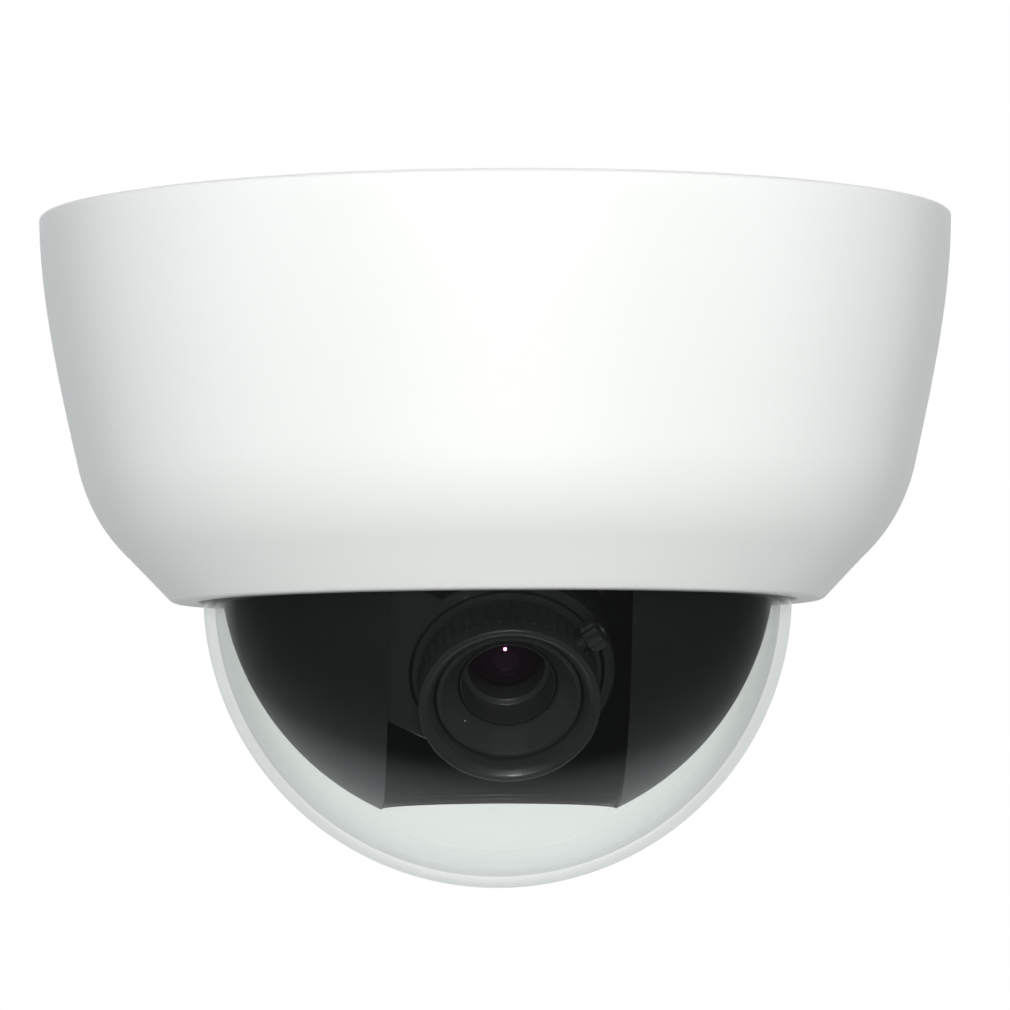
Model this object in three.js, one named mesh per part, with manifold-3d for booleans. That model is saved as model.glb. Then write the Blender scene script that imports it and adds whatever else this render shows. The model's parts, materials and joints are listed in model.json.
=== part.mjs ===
// A ceiling dome camera: a white cover with a clear bubble, hung over a fixed base that carries a
// turntable, a tilting ring and a rolling camera module with a varifocal lens.
//
// Millimetres, +Z up. Z = 0 is the ceiling plane and the camera hangs below it, facing -Y.
// Inside the lens group, +Z runs forward along the lens and its zero is the tilt axis.
import * as THREE from "three";
import { mergeVertices } from "three/addons/utils/BufferGeometryUtils.js";
import Module from "manifold-3d";

const wasm = await Module();
wasm.setup();

// ---------------------------------------------------------------- driving dimensions

const COVER = { radius: 65, top: -0.5, wall: 2.2, foot: -55.4, floor: -53, mouth: 42.3 };
const BUBBLE = { centre: -54.2, radius: 41.9, wall: 1.6, flange: 44.9, under: -52.1, over: -50.4 };
const LINER = { centre: -49, radius: 39.6, wall: 1.2, top: -35.5, slot: 16.7, slotTop: -43.5, back: 1.7 };
const BASE = { radius: 62, plate: 3, skirt: 60.4, skirtWall: 2, skirtFoot: -14 };
const FIXING = { circle: 51.5, width: 4.8, length: 10.4, angles: [0, 90, 180, 270], padDepth: 1 };
const CABLE = { circle: 44, angle: 64, hole: 8, recess: 10.3, recessDepth: 1.3, bore: 5 };
const BOARD = { half: 29, corner: 12, top: -6.5, thick: 1.6, screws: [[22, -18], [-22, -18], [0, 24]] };
const PAN = { ringTop: -17, lip: -20.7, ringFoot: -23, bore: 36.5, ring: 45, seat: 40.7 };
const POST = { circle: 48.5, radius: 3.6, angles: [45, 165, 285] };
const SNAP_ANGLES = [30, 150, 270];
const TABLE = { radius: 40.2, hub: 36.2, hole: 11, top: -18, step: -20.1, foot: -22.5 };
const ARM = { inner: 23.6, thick: 3, half: 10, neck: 7.5, foot: 34.5, screwX: 30, screwY: 6.2 };
const LEDGE = { top: -38, thick: 2, reach: 37.4, half: 5 };
const TILT = { height: -50, down: 35, bore: 19.4, radius: 22.4, half: 4.5, boss: 4, pivot: 1.7 };
const DRUM = { flange: 21.4, front: 6.9, body: 19, rear: 17.5, wall: 1.6, step: -4.8, back: -19 };
const LENS = { barrel: 13.2, zoom: 13.7, focus: 12.8, front: 36.6, bevel: 10.4, bevelDepth: 1.8 };
const IRIS = { angle: 151, radius: 15.1, near: -6, reach: 21, from: 18.4, to: 28.1 };
const FOCUS_LOCK = { angle: 37, height: 32 };
const ZOOM_LOCK = { angle: 60, height: 14.6 };
const GAP = 0.3;

const FINE = 36;
const ROUND = 24;
const SMALL = 10;

// ---------------------------------------------------------------- materials

const finish = (color, roughness, metalness = 0) =>
  new THREE.MeshStandardMaterial({ color, roughness, metalness });

const WHITE = finish(0xf1f2f0, 0.32);
const BLACK = finish(0x17191b, 0.38);
const DARK = finish(0x222426, 0.6);
const RUBBER = finish(0x202020, 0.85);
const STEEL = finish(0xb9bcc0, 0.3, 1);
const ALLOY = finish(0x8d9196, 0.35, 1);
const BRASS = finish(0xc2a35a, 0.3, 1);
const LAMINATE = finish(0x1f5a35, 0.5);
const IVORY = finish(0xe6e1cf, 0.5);
const BLUE = finish(0x2c4f86, 0.5);
const CLEAR = new THREE.MeshStandardMaterial({
  color: 0xe9f0ee, roughness: 0.03, transparent: true, opacity: 0.25,
});
const OPTIC = finish(0x3a2440, 0.02);

// ---------------------------------------------------------------- solids

const radians = THREE.MathUtils.degToRad;
const polar = (radius, degrees) => [
  radius * Math.cos(radians(degrees)),
  radius * Math.sin(radians(degrees)),
];

// A closed three.js geometry as a manifold solid.
function solidOf(geometry) {
  const loose = geometry.index ? geometry.toNonIndexed() : geometry;
  const bare = new THREE.BufferGeometry().setAttribute("position", loose.getAttribute("position"));
  const merged = mergeVertices(bare, 1e-4);
  return new wasm.Manifold(new wasm.Mesh({
    numProp: 3,
    vertProperties: merged.attributes.position.array,
    triVerts: new Uint32Array(merged.index.array),
  }));
}

// A manifold solid as a three.js geometry.
function geometryOf(solid) {
  const { numProp, vertProperties, triVerts } = solid.getMesh();
  const count = vertProperties.length / numProp;
  const positions = new Float32Array(count * 3);
  for (let i = 0; i < count; i++) {
    positions.set(vertProperties.subarray(i * numProp, i * numProp + 3), i * 3);
  }
  return new THREE.BufferGeometry()
    .setAttribute("position", new THREE.BufferAttribute(positions, 3))
    .setIndex(new THREE.BufferAttribute(triVerts, 1));
}

const joined = (first, ...others) => others.reduce((all, one) => all.add(one), first);
const cut = (first, ...others) => others.reduce((all, one) => all.subtract(one), first);

// A solid of revolution about Z from a closed outline of [radius, height] pairs.
function turned(outline, segments = ROUND) {
  const points = outline.map(([r, z]) => new THREE.Vector2(r, z));
  if (THREE.ShapeUtils.area(points) < 0) points.reverse();
  const onAxis = points.findIndex((p, i) => p.x === 0 && points.at(i - 1).x === 0);
  const ordered = onAxis < 0 ? points : [...points.slice(onAxis), ...points.slice(0, onAxis)];
  if (onAxis < 0) ordered.push(ordered[0].clone());
  return solidOf(new THREE.LatheGeometry(ordered, segments).rotateX(Math.PI / 2));
}

const band = (inner, outer, low, high, segments) =>
  turned([[inner, low], [outer, low], [outer, high], [inner, high]], segments);
const disc = (radius, low, high, segments) => band(0, radius, low, high, segments);

function box(x, y, z) {
  const size = [x, y, z].map(([low, high]) => high - low);
  const middle = [x, y, z].map(([low, high]) => (low + high) / 2);
  return solidOf(new THREE.BoxGeometry(...size).translate(...middle));
}

function extruded(shape, low, high, curveSegments = 8) {
  const options = { depth: high - low, bevelEnabled: false, curveSegments };
  return solidOf(new THREE.ExtrudeGeometry(shape, options).translate(0, 0, low));
}

const rod = (x, y, radius, low, high, segments = SMALL) =>
  disc(radius, low, high, segments).translate([x, y, 0]);

// A rod along X, from one x to another, at the given height.
const crossRod = (radius, from, to, height = 0, segments = SMALL) =>
  disc(radius, from, to, segments).rotate([0, 90, 0]).translate([0, 0, height]);

// A round outline with evenly spaced ribs.
function ribbed(radius, depth, ribs) {
  const shape = new THREE.Shape();
  for (let i = 0; i < ribs; i++) {
    [[0, 0], [0.5, 0], [0.5, depth], [1, depth]].forEach(([step, drop], k) => {
      const [x, y] = polar(radius - drop, ((i + step) * 360) / ribs);
      if (i === 0 && k === 0) shape.moveTo(x, y);
      else shape.lineTo(x, y);
    });
  }
  return shape;
}

// A cross-head screw with its head's underside at z = 0 and its head above.
function screw(head, height, shank, length) {
  const body = turned(
    [[0, -length], [shank, -length], [shank, 0], [head, 0], [head * 0.85, height], [0, height]], SMALL);
  const arm = head * 0.55;
  const slot = head * 0.12;
  const depth = [height * 0.45, height + 1];
  const recess = joined(box([-arm, arm], [-slot, slot], depth), box([-slot, slot], [-arm, arm], depth));
  return cut(body, recess);
}

// A thumb screw along +Z: shank from z = 0 up to the head.
function thumbScrew(shank, shankLength, head, headLength, ribs) {
  const grip = extruded(ribbed(head, head * 0.14, ribs), shankLength, shankLength + headLength);
  return joined(disc(shank, 0, shankLength + 0.1, 10), grip);
}

const flipped = (solid) => solid.rotate([180, 0, 0]);

// ---------------------------------------------------------------- scene graph

const camera = new THREE.Group();
const lens = new THREE.Group();
lens.position.z = TILT.height;
lens.rotation.x = radians(90 + TILT.down);
camera.add(lens);

function part(name, solid, material, parent = camera) {
  const mesh = new THREE.Mesh(geometryOf(solid), material);
  mesh.name = name;
  parent.add(mesh);
  return mesh;
}

// ---------------------------------------------------------------- cover and bubble

// The cover's outer wall from its ceiling edge to its foot.
function coverWall() {
  const wall = new THREE.Path();
  wall.moveTo(COVER.radius, COVER.top);
  wall.bezierCurveTo(65, -12, 62.1, -25, 59.4, -36.9);
  wall.quadraticCurveTo(57.5, -44.26, 52.2, -49.2);
  return wall.getPoints(4);
}

// The same wall moved inwards by the cover's thickness.
function innerWall(points) {
  return points.map((point, i) => {
    const along = points[Math.min(i + 1, points.length - 1)].clone().sub(points[Math.max(i - 1, 0)]);
    const inward = new THREE.Vector2(along.y, -along.x).normalize();
    return point.clone().addScaledVector(inward, COVER.wall);
  });
}

const BOSS = { circle: 47.4, radius: 2, top: -48.4, hole: 1.2 };
const CLAMP = { inner: 41, outer: 44.6, under: -50.3, over: -46.4, ear: 2.4 };
const COVER_ANGLES = [90, 210, 330];

function addCover() {
  const wall = coverWall();
  const outside = wall.map((p) => [p.x, p.y]);
  const foot = [[47.9, -53.8], [47, -54.9], [45.2, COVER.foot]];
  const inside = innerWall(wall).reverse().map((p) => [p.x, p.y]);
  inside[inside.length - 1][1] = COVER.top;
  const shell = turned([
    ...outside, ...foot, [COVER.mouth, COVER.foot], [COVER.mouth, COVER.floor], [45.7, COVER.floor],
    ...inside,
  ], FINE);
  const envelope = turned([[0, COVER.top], ...outside, ...foot, [0, COVER.foot]], FINE);
  const bosses = COVER_ANGLES.map((angle) => {
    const [x, y] = polar(BOSS.circle, angle);
    const column = rod(x, y, BOSS.radius, COVER.floor - 0.5, BOSS.top).intersect(envelope);
    return cut(column, rod(x, y, BOSS.hole, COVER.floor + 0.4, 0, 10));
  });
  const wells = COVER_ANGLES.map((angle) => {
    const [x, y] = polar(BOSS.circle, angle);
    return rod(x, y, BOSS.hole, COVER.floor + 0.4, 0, 10);
  });
  part("cover_shell", cut(joined(shell, ...bosses), ...wells), WHITE);
}

function addBubble() {
  const { centre, radius, wall, flange, under, over } = BUBBLE;
  const arc = (r, steps) => Array.from({ length: steps + 1 }, (_, i) => {
    const angle = (i / steps) * (Math.PI / 2);
    return i ? [r * Math.sin(angle), centre - r * Math.cos(angle)] : [0, centre - r];
  });
  part("dome_bubble", turned([
    ...arc(radius, 7), [radius, under], [flange, under], [flange, over], [radius - wall, over],
    ...arc(radius - wall, 6).reverse(),
  ], 32), CLEAR);
  part("dome_gasket", band(COVER.mouth + 0.3, flange, COVER.floor, under - 0.1, 36), RUBBER);

  const ears = COVER_ANGLES.map((angle) => {
    const tip = rod(BOSS.circle, 0, CLAMP.ear, BOSS.top + 0.2, CLAMP.over);
    const web = box([42, BOSS.circle], [-CLAMP.ear, CLAMP.ear], [BOSS.top + 0.2, CLAMP.over]);
    return joined(tip, web).rotate([0, 0, angle]);
  });
  const holes = COVER_ANGLES.map((angle) => rod(...polar(BOSS.circle, angle), 1.35, -60, 0, 10));
  const ring = band(CLAMP.inner, CLAMP.outer, CLAMP.under, CLAMP.over, 36);
  const bore = disc(CLAMP.inner, -60, 0, 36);
  part("dome_retainer", cut(joined(ring, ...ears), bore, ...holes), BLACK);
  COVER_ANGLES.forEach((angle, i) => {
    const [x, y] = polar(BOSS.circle, angle);
    part(`retainer_screw_${i + 1}`, screw(2.1, 1.3, 0.95, 4.6).translate([x, y, CLAMP.over]), STEEL);
  });
}

// ---------------------------------------------------------------- base, board and connectors

function addBase() {
  const { radius, plate, skirt, skirtWall, skirtFoot } = BASE;
  const tray = disc(radius, -plate, 0, FINE);
  const pads = FIXING.angles.map((angle) =>
    box([FIXING.circle - 5.5, FIXING.circle + 4.5], [-9, 9], [-plate - FIXING.padDepth, -1])
      .rotate([0, 0, angle]));
  const slots = FIXING.angles.map((angle) => {
    const end = (FIXING.length - FIXING.width) / 2;
    const half = FIXING.width / 2;
    return joined(
      box([FIXING.circle - half, FIXING.circle + half], [-end, end], [-9, 1]),
      rod(FIXING.circle, end, half, -9, 1, 16),
      rod(FIXING.circle, -end, half, -9, 1, 16),
    ).rotate([0, 0, angle]);
  });
  const posts = POST.angles.map((angle) =>
    rod(...polar(POST.circle, angle), POST.radius, PAN.ringTop, -1, 20));
  const postHoles = POST.angles.map((angle) =>
    rod(...polar(POST.circle, angle), 1.3, PAN.ringTop - 1, PAN.ringTop + 8, 10));
  const stands = BOARD.screws.map(([x, y]) => rod(x, y, 2.6, BOARD.top, -1));
  const standHoles = BOARD.screws.map(([x, y]) => rod(x, y, 1.2, BOARD.top - 1, BOARD.top + 3, 10));
  const ribs = [20, 112, 140, 200, 245, 320].map((angle) =>
    box([37, skirt - skirtWall - 0.4], [-0.8, 0.8], [-plate - 4, -1]).rotate([0, 0, angle]));
  const tongueSlits = SNAP_ANGLES.flatMap((angle) => [-7, 7].map((side) =>
    box([skirt - 3, skirt + 2], [side - 0.6, side + 0.6], [skirtFoot - 1, -plate - 1.5])
      .rotate([0, 0, angle])));
  const beads = SNAP_ANGLES.map((angle) =>
    box([skirt - 1, skirt + 0.4], [-5, 5], [-12, -10]).rotate([0, 0, angle]));
  const [cx, cy] = polar(CABLE.circle, CABLE.angle);
  part("mounting_base", cut(
    joined(tray, ...pads, ...posts, ...stands, ...ribs), ...slots, ...postHoles, ...standHoles,
    rod(cx, cy, CABLE.hole, -9, 1, 24), rod(cx, cy, CABLE.recess, -CABLE.recessDepth, 1, 24),
  ), WHITE);
  const collar = band(skirt - skirtWall, skirt, skirtFoot, -plate, FINE);
  part("snap_collar", cut(joined(collar, ...beads), ...tongueSlits), WHITE);
  part("cable_grommet", turned([
    [CABLE.bore, -0.1], [CABLE.recess - 0.3, -0.1], [CABLE.recess - 0.3, -CABLE.recessDepth + 0.2],
    [CABLE.hole - 0.3, -CABLE.recessDepth + 0.2], [CABLE.hole - 0.3, -plate - GAP],
    [CABLE.recess - 0.3, -plate - GAP], [CABLE.recess - 0.3, -plate - 1.8], [CABLE.bore, -plate - 1.8],
  ], 24).translate([cx, cy, 0]), RUBBER);
}

function addBoard() {
  const { half, corner, top, thick, screws } = BOARD;
  const under = top - thick;
  const outline = new THREE.Shape([
    [half, half - corner], [half - corner, half], [corner - half, half], [-half, half - corner],
    [-half, corner - half], [corner - half, -half], [half - corner, -half], [half, corner - half],
  ].map(([x, y]) => new THREE.Vector2(x, y)));
  const holes = screws.map(([x, y]) => rod(x, y, 1.5, under - 1, top + 1, 12));
  part("main_board", cut(extruded(outline, under, top), ...holes), LAMINATE);
  screws.forEach(([x, y], i) => {
    const fixing = flipped(screw(2.3, 1.4, 1, 4)).translate([x, y, under]);
    part(`board_screw_${i + 1}`, fixing, STEEL);
  });

  const wells = [-2.6, 2.6].map((side) => joined(
    box([side - 1.7, side + 1.7], [1, 6], [-6, -2]),
    rod(side, -1, 1.7, -9, -4, 12),
  ));
  part("terminal_block", cut(box([-5.1, 5.1], [-4, 4], [-8, 0]), ...wells)
    .translate([-12, 23, under]), BLUE);
  part("video_socket", cut(
    joined(box([-3.2, 3.2], [-3.2, 3.2], [-2.5, 0]), disc(2.7, -8, -2, 20)),
    disc(1.9, -9, -3, 16),
  ).translate([13, 21, under]), BRASS);
  part("harness_header", cut(
    box([-8, 8], [-2.8, 2.8], [-6, 0]), box([-7.2, 7.2], [-2, 2], [-7, -1.5]),
    box([-4, 4], [-4, -1], [-7, -3.5]),
  ).translate([0, -23, under]), IVORY);
  const can = (r, height) => turned([
    [0, -height], [r * 0.82, -height], [r, -height + 0.6], [r, -1.9], [r * 0.9, -1.4], [r, -0.9],
    [r, 0], [0, 0],
  ], 22);
  part("capacitor_large", can(4, 8.2).translate([-20, 3, under]), DARK);
  part("capacitor_small", can(3.1, 7).translate([-20, -7, under]), DARK);
  part("power_inductor", joined(
    box([-5, 5], [-5, 5], [-1.6, 0]), disc(4.6, -5, -1, 20), box([-5, 5], [-5, 5], [-5.6, -4.2]),
  ).translate([19, 3, under]), DARK);
}

// ---------------------------------------------------------------- pan unit

function addPanRing() {
  const track = turned([
    [PAN.bore, PAN.lip], [PAN.bore, PAN.ringFoot], [PAN.ring, PAN.ringFoot], [PAN.ring, PAN.ringTop],
    [PAN.seat, PAN.ringTop], [PAN.seat, PAN.lip],
  ], 36);
  const ears = POST.angles.map((angle) => joined(
    rod(POST.circle, 0, 4, PAN.ringTop - 2.5, PAN.ringTop - 0.1, 18),
    box([PAN.ring - 2, POST.circle], [-4, 4], [PAN.ringTop - 2.5, PAN.ringTop - 0.1]),
  ).rotate([0, 0, angle]));
  const holes = POST.angles.map((angle) => rod(...polar(POST.circle, angle), 1.6, -30, 0, 12));
  part("pan_ring", cut(joined(track, ...ears), ...holes), BLACK);
  POST.angles.forEach((angle, i) => {
    const [x, y] = polar(POST.circle, angle);
    const fixing = flipped(screw(2.8, 1.7, 1.1, 9)).translate([x, y, PAN.ringTop - 2.5]);
    part(`pan_ring_screw_${i + 1}`, fixing, STEEL);
  });
}

const LOCK = { radius: 29, shank: 1.3 };

function addTurntable() {
  const plate = turned([
    [TABLE.hole, TABLE.step], [34.2, TABLE.step], [34.2, TABLE.top], [TABLE.radius, TABLE.top],
    [TABLE.radius, PAN.lip + GAP], [TABLE.hub, PAN.lip + GAP], [TABLE.hub, TABLE.foot],
    [TABLE.hole, TABLE.foot],
  ], 36);
  const screwHoles = [-1, 1].flatMap((side) => [-1, 1].map((end) =>
    rod(side * ARM.screwX, end * ARM.screwY, 1.3, -30, 0, 10)));
  part("turntable", cut(plate, ...screwHoles, rod(0, LOCK.radius, LOCK.shank + 0.35, -30, 0, 14)), BLACK);
  const lock = flipped(thumbScrew(LOCK.shank, 4.4, 3.6, 3.6, 10));
  part("pan_lock_screw", lock.translate([0, LOCK.radius, TABLE.foot + 4.1]), BLACK);
}

// One arm, drawn on the +X side and mirrored to the other.
function armSolid() {
  const top = TABLE.foot - GAP;
  const side = new THREE.Shape();
  side.moveTo(-ARM.half, -top);
  side.lineTo(ARM.half, -top);
  side.lineTo(ARM.half, -top + 3);
  side.lineTo(ARM.neck, -top + 14);
  side.lineTo(ARM.neck, -TILT.height);
  side.absarc(0, -TILT.height, ARM.neck, 0, Math.PI, false);
  side.lineTo(-ARM.neck, -top + 14);
  side.lineTo(-ARM.half, -top + 3);
  const plate = extruded(side, 0, ARM.thick, 7).rotate([0, 90, 0]).rotate([-90, 0, 0])
    .translate([ARM.inner, 0, 0]);
  const foot = box([ARM.inner, ARM.foot], [-ARM.half, ARM.half], [top - 2.5, top]);
  const shelf = { low: LEDGE.top - LEDGE.thick, outer: ARM.inner + ARM.thick };
  const ledge = box([ARM.inner + 1, LEDGE.reach], [-LEDGE.half, LEDGE.half], [shelf.low, LEDGE.top]);
  const gusset = new THREE.Shape();
  gusset.moveTo(shelf.outer - 0.5, shelf.low + 0.5);
  gusset.lineTo(shelf.outer - 0.5, shelf.low - 4);
  gusset.lineTo(LEDGE.reach - 3, shelf.low + 0.5);
  const web = extruded(gusset, -1, 1).rotate([90, 0, 0]);
  const holes = [-1, 1].map((end) => rod(ARM.screwX, end * ARM.screwY, 1.5, -30, 0, 10));
  return cut(
    joined(plate, foot, ledge, web), ...holes,
    crossRod(TILT.pivot + 0.2, 20, 30, TILT.height),
  );
}

function addArms() {
  part("tilt_arm_right", armSolid(), BLACK);
  part("tilt_arm_left", armSolid().rotate([0, 0, 180]), BLACK);
  const top = TABLE.foot - GAP - 2.5;
  for (const [side, name] of [[-1, "left"], [1, "right"]]) {
    const fixing = flipped(screw(2.2, 1.4, 1, 6)).translate([side * ARM.screwX, -ARM.screwY, top]);
    part(`arm_screw_${name}`, fixing, STEEL);
  }
  const knob = thumbScrew(1.4, 6.8, 5, 4, 16);
  part("tilt_knob_right", knob.rotate([0, 90, 0]).translate([20.2, 0, TILT.height]), BLACK);
  part("tilt_knob_left", knob.rotate([0, -90, 0]).translate([-20.2, 0, TILT.height]), BLACK);
}

function addLiner() {
  const { centre, radius, wall, top, slot, slotTop, back } = LINER;
  const arc = (r, steps) => Array.from({ length: steps + 1 }, (_, i) => {
    const angle = (i / steps) * (Math.PI / 2);
    return i ? [r * Math.sin(angle), centre - r * Math.cos(angle)] : [0, centre - r];
  });
  const shell = turned([
    ...arc(radius, 7), [radius, top], [radius - wall, top], ...arc(radius - wall, 6).reverse(),
  ], 36);
  const lugs = [0, 180].map((angle) =>
    box([33.5, radius - 0.6], [-4.5, 4.5], [LEDGE.top + GAP, top]).rotate([0, 0, angle]));
  const opening = joined(
    box([-slot, slot], [-50, back], [-100, slotTop]),
    rod(0, back, slot, -100, -60, 24),
  );
  part("liner", cut(joined(shell, ...lugs), opening), BLACK);
}

// ---------------------------------------------------------------- tilt ring and camera module

function addTiltRing() {
  const ring = band(TILT.bore, TILT.radius, -TILT.half, TILT.half, 32);
  const reach = ARM.inner - GAP;
  const bosses = joined(crossRod(TILT.boss, 21, reach), crossRod(TILT.boss, -reach, -21));
  const pivots = joined(crossRod(TILT.pivot, 15, 30), crossRod(TILT.pivot, -30, -15));
  const bore = disc(TILT.bore, -10, 10, 32);
  part("tilt_ring", cut(joined(ring, bosses), bore, pivots), BLACK, lens);
}

const SENSOR_BOARD = { front: -6.5, thick: 1.6 };
const REAR_BOARD = { front: -12.8, thick: 1.6 };
const PILLARS = [[11.4, 0], [-11.4, 0]];
const BUTTON = { x: 6, y: 6, radius: 1.5 };

function addHousing() {
  const { flange, front, body, rear, wall, step, back } = DRUM;
  const web = TILT.half + 0.4;
  const drum = turned([
    [rear - wall, back], [rear, back], [rear, step], [body, step], [body, web], [flange, web],
    [flange, front], [13, front], [13, web - 0.4], [rear - wall, web - 0.4],
  ], 28);
  const columns = PILLARS.map(([x, y]) => rod(x, y, 2, SENSOR_BOARD.front + GAP, web, 12));
  const throat = disc(13, 0, 10, 28);
  const windows = [0, 180].map((angle) =>
    box([14, 19], [-5, 5], [back + 3, back + 7]).rotate([0, 0, angle + 90]));
  const screwWells = [-33, 87, 207].map((angle) => rod(...polar(17.2, angle), 1, 5.6, 10, 10));
  part("camera_housing", cut(joined(drum, ...columns), throat, ...windows, ...screwWells), BLACK, lens);
  part("housing_clip_ring", band(rear + GAP, 21, step - 1.8, step - GAP, 28), DARK, lens);
  const exit = box([-7, 5], [-11, -7], [-30, 0]);
  const access = rod(BUTTON.x, BUTTON.y, 2.4, -30, 0, 14);
  part("rear_cap", cut(disc(rear - wall - GAP, back, back + 1.4, 28), exit, access), DARK, lens);
  [-33, 87, 207].forEach((angle, i) => {
    const [x, y] = polar(17.2, angle);
    part(`flange_screw_${i + 1}`, screw(1.6, 1.1, 0.75, 1).translate([x, y, front]), STEEL, lens);
  });
}

function addModuleBoards() {
  const outline = new THREE.Shape().absarc(0, 0, 14.8, 0, 2 * Math.PI, false);
  const board = ({ front, thick }) => extruded(outline, front - thick, front, 16);
  const back = SENSOR_BOARD.front - SENSOR_BOARD.thick;
  part("sensor_board", board(SENSOR_BOARD), LAMINATE, lens);
  part("processor_board", board(REAR_BOARD), LAMINATE, lens);
  PILLARS.forEach(([x, y], i) => {
    const spacer = rod(x, y, 1.8, REAR_BOARD.front + GAP, back - GAP, 12);
    part(`board_spacer_${i + 1}`, spacer, BRASS, lens);
  });
  const low = SENSOR_BOARD.front + GAP;
  part("image_sensor", box([-5.5, 5.5], [-5, 5], [low, low + 2]), DARK, lens);
  const rearFace = REAR_BOARD.front - REAR_BOARD.thick;
  const { x, y, radius } = BUTTON;
  part("menu_switch", cut(
    box([x - 3, x + 3], [y - 3, y + 3], [rearFace - 2.6, rearFace - GAP]),
    rod(x, y, 1.1, rearFace - 4, rearFace - 0.8),
  ), DARK, lens);
  part("menu_button", joined(
    rod(x, y, radius, rearFace - 5.2, rearFace - 3.3, 14),
    rod(x, y, 0.8, rearFace - 4, rearFace - 1.5),
  ), IVORY, lens);
}

// A piece drawn along +Z, laid outwards from the lens axis at a lock's angle and height.
const placedRadially = (solid, start, { angle, height }) =>
  solid.rotate([0, 90, 0]).translate([start, 0, height]).rotate([0, 0, angle]);
const radialHole = (lock) => placedRadially(disc(1.3, 0, 12, 12), 8, lock);

function addLens() {
  const { barrel, zoom, focus, front, bevel, bevelDepth } = LENS;
  part("lens_mount", turned([
    [6.6, 2], [12.7, 2], [12.7, DRUM.front + GAP], [14.6, DRUM.front + GAP], [14.6, 10.4], [12.1, 10.4],
    [12.1, 4], [6.6, 4],
  ]), ALLOY, lens);
  part("ir_filter", disc(6.3, 2.4, 3.4, 24), OPTIC, lens);
  part("lens_barrel", turned([
    [5.6, 5.2], [11.8, 5.2], [11.8, 10.7], [13.7, 10.7], [13.7, 11.2], [11.9, 11.2], [11.9, 17.9],
    [barrel, 17.9], [barrel, 28.3], [10, 28.3], [10, 34.3], [9.4, 34.3], [6.9, 31.2], [6.9, 22.1],
    [5.6, 22.1],
  ]), BLACK, lens);
  part("rear_element", turned([[0, 6.6], [5.3, 6.6], [5.3, 8.2], [2.8, 8.9], [0, 9.2]], 24), OPTIC, lens);
  part("iris_plate", band(1.8, 5.3, 15, 15.8, 24), STEEL, lens);
  part("front_element", turned([
    [0, 22.4], [6.6, 22.4], [6.6, 23.2], [5.2, 23.3], [3.9, 24.7], [2.6, 25.8], [1.3, 26.5], [0, 26.7],
  ], 28), OPTIC, lens);
  part("front_bezel", turned([
    [5.3, 23.6], [6.6, 23.6], [6.6, 31], [6.4, 31], [6.2, 27.2], [5.3, 26.9],
  ], 28), BLACK, lens);

  const motor = box([0, IRIS.reach], [IRIS.near, IRIS.radius], [IRIS.from, IRIS.to])
    .intersect(disc(IRIS.reach, 0, 40, 36));
  const casing = joined(disc(IRIS.radius, IRIS.from, IRIS.to), motor);
  part("iris_housing", cut(casing, disc(barrel + 0.4, 0, 40, 24)).rotate([0, 0, IRIS.angle]), BLACK, lens);

  const zoomSleeve = cut(extruded(ribbed(zoom, 0.4, 20), 11.5, 17.6), disc(12.2, 0, 30));
  part("zoom_ring", cut(zoomSleeve, radialHole(ZOOM_LOCK)), BLACK, lens);
  const zoomScrew = thumbScrew(1, 2.2, 2.4, 3.4, 10);
  part("zoom_lock_screw", placedRadially(zoomScrew, 12.7, ZOOM_LOCK), STEEL, lens);

  const bore = turned([
    [0, 20], [10.3, 20], [10.3, front - bevelDepth], [bevel, front - bevelDepth],
    [focus - 0.5, front], [focus - 0.5, 40], [0, 40],
  ]);
  const sleeve = joined(
    extruded(ribbed(focus, 0.35, 20), 28.7, front - 2.4), disc(focus - 0.15, front - 2.5, front));
  part("focus_ring", cut(sleeve, bore, radialHole(FOCUS_LOCK)), BLACK, lens);
  const focusScrew = thumbScrew(1, 2.4, 2.2, 2.4, 10);
  part("focus_lock_screw", placedRadially(focusScrew, 11, FOCUS_LOCK), BLACK, lens);
}

addCover();
addBubble();
addBase();
addBoard();
addPanRing();
addTurntable();
addArms();
addLiner();
addTiltRing();
addHousing();
addModuleBoards();
addLens();

export default camera;
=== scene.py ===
"""The ceiling dome camera's looks: smooth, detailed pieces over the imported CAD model."""

import bpy
import bmesh
import json
import math
from mathutils import Matrix, Vector


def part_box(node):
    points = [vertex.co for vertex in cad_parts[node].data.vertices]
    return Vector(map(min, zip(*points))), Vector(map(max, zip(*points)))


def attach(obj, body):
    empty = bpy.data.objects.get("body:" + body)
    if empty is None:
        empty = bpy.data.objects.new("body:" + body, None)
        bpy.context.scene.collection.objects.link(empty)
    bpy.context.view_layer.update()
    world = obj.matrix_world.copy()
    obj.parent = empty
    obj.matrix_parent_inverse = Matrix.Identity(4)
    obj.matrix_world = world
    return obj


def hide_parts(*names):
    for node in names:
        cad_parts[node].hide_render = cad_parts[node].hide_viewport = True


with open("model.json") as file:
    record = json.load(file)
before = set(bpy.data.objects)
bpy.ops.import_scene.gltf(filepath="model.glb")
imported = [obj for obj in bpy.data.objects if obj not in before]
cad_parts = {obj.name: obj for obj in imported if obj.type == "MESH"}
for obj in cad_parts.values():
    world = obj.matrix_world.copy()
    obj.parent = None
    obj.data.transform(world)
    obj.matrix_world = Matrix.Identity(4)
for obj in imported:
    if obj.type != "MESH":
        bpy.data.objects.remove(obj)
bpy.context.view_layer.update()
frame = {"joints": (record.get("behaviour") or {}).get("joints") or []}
MM = 0.001
TAU = 2 * math.pi
SHARP_EDGE = math.radians(32)


# ------------------------------------------------------------------ frame data

def joint(name):
    return next(j for j in frame["joints"] if j["name"] == name)


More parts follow.
